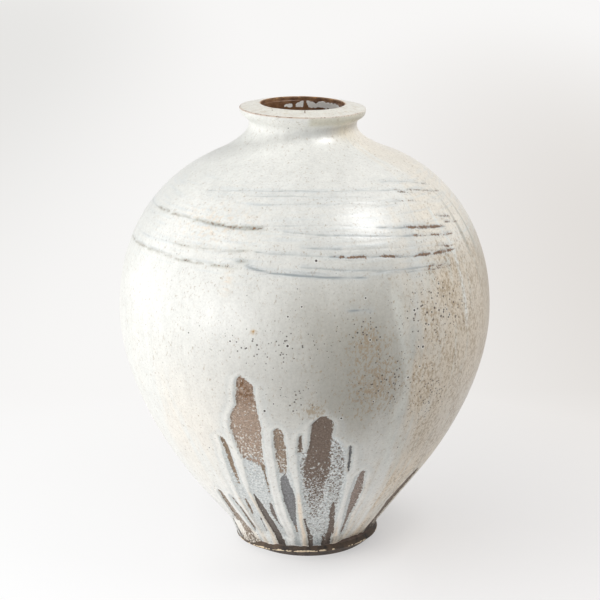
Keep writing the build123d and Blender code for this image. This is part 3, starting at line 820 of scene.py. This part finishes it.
# The glaze coat in three pieces that meet edge to edge at the belly and at the collar's seat. Below, it ends in a
# rounded tongue on the foot's cone: how far along its reach and how thick, row by row, and its reach by turn
DOWN_CONE = (ARRIS - CLAY_WAIST) / np.hypot(*(ARRIS - CLAY_WAIST))
OFF_CONE = np.array((-DOWN_CONE[1], DOWN_CONE[0]))
TONGUE = [(1.0, -0.3), (0.97, 0.35), (0.86, 0.75), (0.62, 1.0), (0.3, 0.95)]
TONGUE_START, USUAL_REACH, MOST_REACH = 1.74, 3, 7.6
REACH = [
    (-180, 2), (-90, 7.4), (-62, 7.6), (-52, 6.4), (-42, 3.0), (21, 2.7), (28, 1.5), (36, 0.3), (51, 0.3), (72, 2.7),
    (100, 2.5), (180, 2),
]
COAT_BACK, COLLAR_BACK = COAT + 1.0, COAT + 0.6


def on_cone(reach, share, thick):
    return CLAY_WAIST + DOWN_CONE * (TONGUE_START + reach * share) + OFF_CONE * thick


def glaze_piece(name, outer, back, fields, tongue=()):
    """A closed coat: fine rows outside, a few rows at the back, inside the clay's face."""
    first, end = len(tongue), len(tongue) + len(outer)
    outline = np.array([*[on_cone(USUAL_REACH, *row) for row in tongue], *outer, *back])
    surface = Surface(turned(name, outline, GLAZE_STEPS, (end - 1,) if tongue else (0, end - 1)), outline)
    surface.outer = outer
    seen = (surface.row >= first) & (surface.row < end)
    values = fields(surface)
    normal = outward(outline)
    normal[first:end] = outward(outer)
    out = np.where(seen, values.pop("relief"), 0)
    surface.set(surface.radius + normal[surface.row, 0] * out, surface.height + normal[surface.row, 1] * out)
    if tongue:
        around = surface.skin * (1, 1, 0)
        reach = read(REACH, surface.turn) + 0.8 * drift(around, 24, 51) + 0.4 * drift(around, 8, 52)
        for index, (share, thick) in enumerate(tongue):
            here = surface.row == index
            radius, height = on_cone(np.clip(reach[here, None], -0.4, MOST_REACH), share, thick).T
            surface.points[here] = placed(radius, surface.turn[here], height)
    for key, value in values.items():
        surface.paint(key, value)
    surface.settle()
    finished(surface, "outer_glaze", GLAZE)


# Rows are twice as close from 300 mm up, where most brush rings lie
flank_rows, shoulder_rows = along(FLANK, 1.95), along(SHOULDER, 1.06)
wide_rows = shoulder_rows[:, 1] < 300
shoulder_rows = np.concatenate([shoulder_rows[wide_rows][::2], shoulder_rows[~wide_rows]])
collar_rows = np.concatenate([
    along(COVE, 1.2)[:-1], along(FLARE, 1.0)[:-1],
    [LIP + (-0.05, -0.35), LIP + (-0.35, 0.05)],
    np.linspace(LIP, CREST, 16)[1:-1], [CREST + (0.35, -0.04), CREST + (0.0, -0.3)],
])
collar_back = np.concatenate([
    sunk(np.concatenate([along(COVE, 6), along(FLARE, 4)[1:-1]]), COLLAR_BACK), [LIP - (3, 1.4), CREST - (0, 1.4)]])
glaze_piece("lower_glaze", flank_rows, sunk(flank_rows, COAT_BACK)[::-1][::24], flank_fields, TONGUE)
glaze_piece("shoulder_glaze", shoulder_rows, sunk(shoulder_rows, COAT_BACK)[::-1][::26], shoulder_fields)
glaze_piece("collar_glaze", collar_rows, collar_back[::-1], collar_fields)


def clay_piece(name, node_name, outline, material, sharp=(), steps=CLAY_STEPS, shape=None):
    surface = Surface(turned(name, outline, steps, sharp), outline)
    if shape:
        shape(surface)
    surface.settle()
    finished(surface, node_name, material)


def cone_at(height):
    share = (height - ARRIS[1]) / (CLAY_WAIST[1] - ARRIS[1])
    return ARRIS + (CLAY_WAIST - ARRIS) * share


def chipped(surface):
    """Small chips and a worn line along the foot's sharp edge."""
    near = bell(np.hypot(surface.radius - ARRIS[0], surface.height - ARRIS[1]), 1.2)
    chips = np.clip(drift(surface.points, 6, 61) + 0.5 * drift(surface.points, 2.4, 62) - 0.25, 0, 1)
    bright = np.maximum(bell(surface.turn - 7, 24), bell(surface.turn + 36, 11))
    worn = 0.55 + 1.1 * bright + 0.4 * smooth(np.abs(surface.turn), 70, 110)
    ragged = 1.2 + 1.2 * drift(surface.points, 7, 63) + 1.1 * drift(surface.points, 2.3, 64)
    surface.paint("over", near * worn * ragged)
    surface.set(surface.radius - 1.1 * near * chips, surface.height)


def scorched_mouth(surface):
    """An orange line under the mouth's edge."""
    inside = surface.radius < CREST[0] + 0.1
    edge = bell(surface.height - (CREST[1] - 0.8), 1.0)
    surface.paint("over", inside * edge * (0.8 + 0.6 * drift(surface.points, 6, 64)))


# Height of the liner's white splashes in the mouth, by turn, where they end below, and its thin brown top edge
SPLASH = [
    (-180, 444.4), (-174, 443.6), (-170.5, 441.2), (-168, 438.5), (-165, 441.6), (-158, 442.4), (-153, 440.8),
    (-149, 437.5), (-60, 437), (-30, 440), (0, 438), (60, 440), (104, 438.5), (112, 441.6), (121, 444.0), (140, 444.6),
    (152, 444.8), (159, 443.8), (162, 442.2), (166, 444.2), (174, 445.4), (180, 444.4),
]
SPLASH_END, SPLASH_TOP = 439.1, 446.0


def splashed(surface):
    """White splashes of liner at its top edge, a dark band below them and pale glaze deep inside."""
    around = surface.skin * (1, 1, 0)
    top = read(SPLASH, surface.turn) + 0.5 * drift(around, 30, 65) + 0.7 * drift(around, 13, 68)
    share = np.clip((surface.height - MOUTH[1]) / (LINER_TOP - MOUTH[1]), 0, 1)
    level = surface.height + share * (SPLASH_TOP - LINER_TOP)
    white = smooth(top + 0.8 - level, -0.7, 0.5) * smooth(level - SPLASH_END + 0.8 * drift(around, 16, 69), -0.7, 0.7)
    white *= smooth(top, 439.6, 441.5) * (1 - smooth(drift(surface.points, 6, 67), 0.45, 0.75))
    deep = smooth(415 - surface.height, 0, 30) * (0.75 + 0.4 * drift(surface.points, 20, 66))
    surface.paint("over", np.maximum(1.35 * white, deep))
    surface.set(surface.radius + (MOUTH[0] - surface.radius) * 0.96 * share, level)


# Outlines of the clay and the liner, sunk from the outside of the jar
clay_flank, clay_shoulder, clay_cove = (sunk(along(curve, 5), COAT) for curve in (FLANK, SHOULDER, COVE))
inner_flank, inner_shoulder = (sunk(along(curve, 5), COAT + CLAY_WALL) for curve in (FLANK, SHOULDER))
liner_flank, liner_shoulder = (sunk(along(curve, 5), COAT + CLAY_WALL + LINER) for curve in (FLANK, SHOULDER))
seat_normal = outward([COLLAR_SEAT - SHOULDER_SLOPE, COLLAR_SEAT + SHOULDER_SLOPE])[0]
MOUTH = np.array((CREST[0], NECK[1]))
seat_inside = COLLAR_SEAT - (COAT + CLAY_WALL) * seat_normal
inner_cove = along(swept(seat_inside, SHOULDER_SLOPE, 12.5, MOUTH, UP, 12), 4)
liner_cove = inner_cove - (LINER, 0)
clay_flare = along(swept(clay_cove[-1], UP, 9, LIP - (0.6, 0.6), UP, 11), 3)
clay_crest = CREST - (0, 0.6)
slip_rows = np.concatenate([along(SHOULDER, 5), along(COVE, 5)[1:]])
middle = (clay_flank[-1] + inner_flank[-1]) / 2 - BELLY_TONGUE * UP
film, thin_film = LUTING * UP, 0.4 * SHOULDER_SLOPE
neck_levels = np.linspace(MOUTH[1], LINER_TOP, 21)[1:]
base, liner_base = inner_flank[0][1], liner_flank[0][1]

foot_rows = [
    (FOOT_WELL, 0.6), (FOOT_WELL + 0.6, 0.0), (FOOT_REST - 0.8, 0.0), (FOOT_REST, 0.4),
    *[ARRIS - (13 * k, 10 * k) for k in (0.7, 0.45, 0.25, 0.1, 0.04)],
    ARRIS - (0.3, 0.0), *[ARRIS + (cone_at(FOOT_TOP) - ARRIS) * k for k in (0.15, 0.4, 0.7, 1.0)],
    (FOOT_SEAT, FOOT_TOP),
]
clay_piece("turned_foot_ring", "foot_ring", foot_rows, FOOT_CLAY,
           (len(foot_rows) - 2, len(foot_rows) - 1), FOOT_STEPS, chipped)
clay_piece("foot_luting_film", "foot_luting", [
    (FOOT_SEAT, FOOT_TOP), cone_at(FOOT_TOP), cone_at(FOOT_JOINT), (FOOT_SEAT, FOOT_JOINT)], FOOT_CLAY, range(4))
clay_piece("thrown_lower_bowl", "lower_bowl", [
    (0, FOOT_JOINT), (BASE_RING, FOOT_JOINT), cone_at(FOOT_JOINT), cone_at(CONE_END), *clay_flank, middle,
    *inner_flank[::-1], (BASE_RING, base), (0, base)], BODY_CLAY, (2,))
clay_piece("belly_luting_film", "belly_luting", [
    clay_flank[-1], clay_flank[-1] + film, middle + film, inner_flank[-1] + film, inner_flank[-1], middle],
    LUTING_CLAY, range(6))
clay_piece("thrown_upper_bowl", "upper_bowl", [
    *clay_shoulder, *inner_shoulder[::-1], middle + film], BODY_CLAY)
clay_piece("neck_luting_film", "neck_luting", [
    clay_shoulder[-1], clay_cove[0] + thin_film, inner_cove[0] + thin_film, inner_shoulder[-1]], LUTING_CLAY, range(4))
clay_piece("thrown_neck_collar", "neck_collar", [
    *clay_cove, *clay_flare[1:], clay_crest, *np.linspace(clay_crest, inner_cove[-1], 15)[1:-1],
    *inner_cove[::-1]], MOUTH_CLAY, (), MOUTH_STEPS, scorched_mouth)
clay_piece("brushed_slip_coat", "brushed_slip", [
    *sunk(slip_rows, SLIP_COVER), *sunk(slip_rows, COAT)[::-1]], SLIP_CLAY)
clay_piece("liner_glaze_coat", "liner_glaze", [
    (0, base), (BASE_RING, base), *inner_flank, *inner_shoulder[1:], *inner_cove[1:],
    *[(MOUTH[0], level) for level in neck_levels], (MOUTH[0] - 0.25 * LINER, LINER_TOP),
    *[(MOUTH[0] - LINER, level) for level in neck_levels[-2::-1]],
    *liner_cove[::-1][:-1], *liner_shoulder[::-1], *liner_flank[::-1][1:], (BASE_RING, liner_base), (0, liner_base)],
    LINER_GLAZE, (), MOUTH_STEPS, splashed)


JAR_MIDDLE = Vector((0, 0, 0.24))


def lamp(name, turn, rise, distance, width, tall, power):
    """A soft light that faces the jar's middle, by its turn and rise in degrees and its sizes in metres."""
    data = bpy.data.lights.new(name, "AREA")
    data.shape, data.size, data.size_y, data.energy = "RECTANGLE", width, tall, power
    piece = bpy.data.objects.new(name, data)
    bpy.context.scene.collection.objects.link(piece)
    rise = math.radians(rise)
    piece.location = JAR_MIDDLE + Vector(placed(math.cos(rise) * distance, turn, math.sin(rise) * distance))
    piece.rotation_euler = (JAR_MIDDLE - piece.location).to_track_quat("-Z", "Y").to_euler()
    piece.visible_camera = False


# A white studio: pale floor, a wide soft light on the left, a smaller one high on the right, a low panel in front
lamp("left_softbox", -88, 12, 1.3, 1.9, 1.9, 18.0)
lamp("high_right_lamp", 62, 56, 1.7, 0.62, 0.62, 18.0)
lamp("low_panel", -46, 2, 1.5, 1.0, 0.5, 6.8)


def seen_straight(add):
    """1 for rays from the eye, and for those that mirror or pass through, so that these show the background too."""
    kinds = ("Is Camera Ray", "Is Glossy Ray", "Is Transmission Ray")
    eye, mirrored, through = (add("LightPath", output=kind) for kind in kinds)
    both = add("Math", (eye, mirrored), operation="MAXIMUM")
    return add("Math", (both, through), operation="MAXIMUM")


FLOOR_RADIUS = 9.0
floor_mesh = bpy.data.meshes.new("floor")
bm = bmesh.new()
bmesh.ops.create_circle(bm, cap_ends=True, segments=96, radius=FLOOR_RADIUS)
bm.to_mesh(floor_mesh)
bm.free()
floor = bpy.data.objects.new("floor", floor_mesh)
bpy.context.scene.collection.objects.link(floor)

# White paper: it glows a little, with greyer pools of painted shade to the right and far left and painted light
# at the front, and near the jar it keeps the shadow
PAPER, PAPER_GLOW, LEFT_SHADE_POOL, RIGHT_SHADE_POOL, FRONT_LEFT_LIGHT, FRONT_RIGHT_LIGHT = (
    "EEEDED", "F8F7F6", "E7E6E4", "E0DCD8", "FFFFFF", "F8F6F5")
floor_paper, add = new_material("white_paper")
place = add("TexCoord", output="Object")
away = add("VectorMath", (place,), output="Value", operation="LENGTH")
x, y = (add("SeparateXYZ", (place,), output=axis) for axis in "XY")
side = add("MapRange", (x, -0.3, 0.3))
front = add("MapRange", (y, -0.15, 0.5, 1, 0))
tint = linear(PAPER_GLOW)
# Each pool of painted shade is a soft spot, long in depth: its middle, where it starts to fade, where it ends, and
# its colour
for middle_x, middle_y, start, stop, code in ((-1.0, 3.0, 0.2, 0.9, LEFT_SHADE_POOL), (0.6, 0.9, 0.0, 0.8, RIGHT_SHADE_POOL)):
    shade_pool = add("Mapping", {"Vector": place, "Location": (-middle_x, -0.2 * middle_y, 0), "Scale": (1, 0.2, 1)})
    shade_pool = add("VectorMath", (shade_pool,), output="Value", operation="LENGTH")
    shade_pool = add("MapRange", (shade_pool, start, stop, 1, 0), interpolation_type="SMOOTHSTEP")
    tint = add("Mix", {0: shade_pool, 6: tint, 7: linear(code)}, **RGBA)
# Brighter at the front near the jar, most on the left: painted light
bright = add("Mix", {0: side, 6: linear(FRONT_LEFT_LIGHT), 7: linear(FRONT_RIGHT_LIGHT)}, **RGBA)
tint = add("Mix", {0: front, 6: tint, 7: bright}, **RGBA)
least = add("MapRange", (side, 0.3, 0.7, 0.92, 0.36))
share = add("MapRange", (away, 0.12, 0.5, least, 1))
seen = add("MapRange", {0: seen_straight(add), 3: 0.3, 4: 1})
share = add("Math", (share, seen), operation="MULTIPLY")
paper = add("BsdfDiffuse", {"Color": linear(PAPER)})
glow = add("Emission", {"Color": tint})
add("OutputMaterial", {"Surface": add("MixShader", (share, paper, glow))})
floor_mesh.materials.append(floor_paper)

world = bpy.data.worlds.new("studio")
bpy.context.scene.world = world
world.use_nodes = True
world.node_tree.nodes.clear()
add = functools.partial(node, world.node_tree)
FILL, BACKDROP = "F4F4F4", "F0F0EF"
fill = add("Background", {"Color": linear(FILL), "Strength": 0.24})
backdrop = add("Background", {"Color": linear(BACKDROP), "Strength": 1})
add("OutputWorld", {"Surface": add("MixShader", (seen_straight(add), fill, backdrop))})

# The camera's place, tilt and lens come from a fit to the jar's outline in the photo
CAMERA_TILT = 14.926
camera_data = bpy.data.cameras.new("photo_camera")
camera_data.lens, camera_data.sensor_width = 120.93, 36.0
camera = bpy.data.objects.new("photo_camera", camera_data)
camera.location = (-0.0043, -1.9528, 0.77128)
camera.rotation_euler = (math.radians(90 - CAMERA_TILT), 0, 0)
bpy.context.scene.collection.objects.link(camera)
bpy.context.scene.camera = camera
bpy.context.scene.view_settings.view_transform = "Standard"
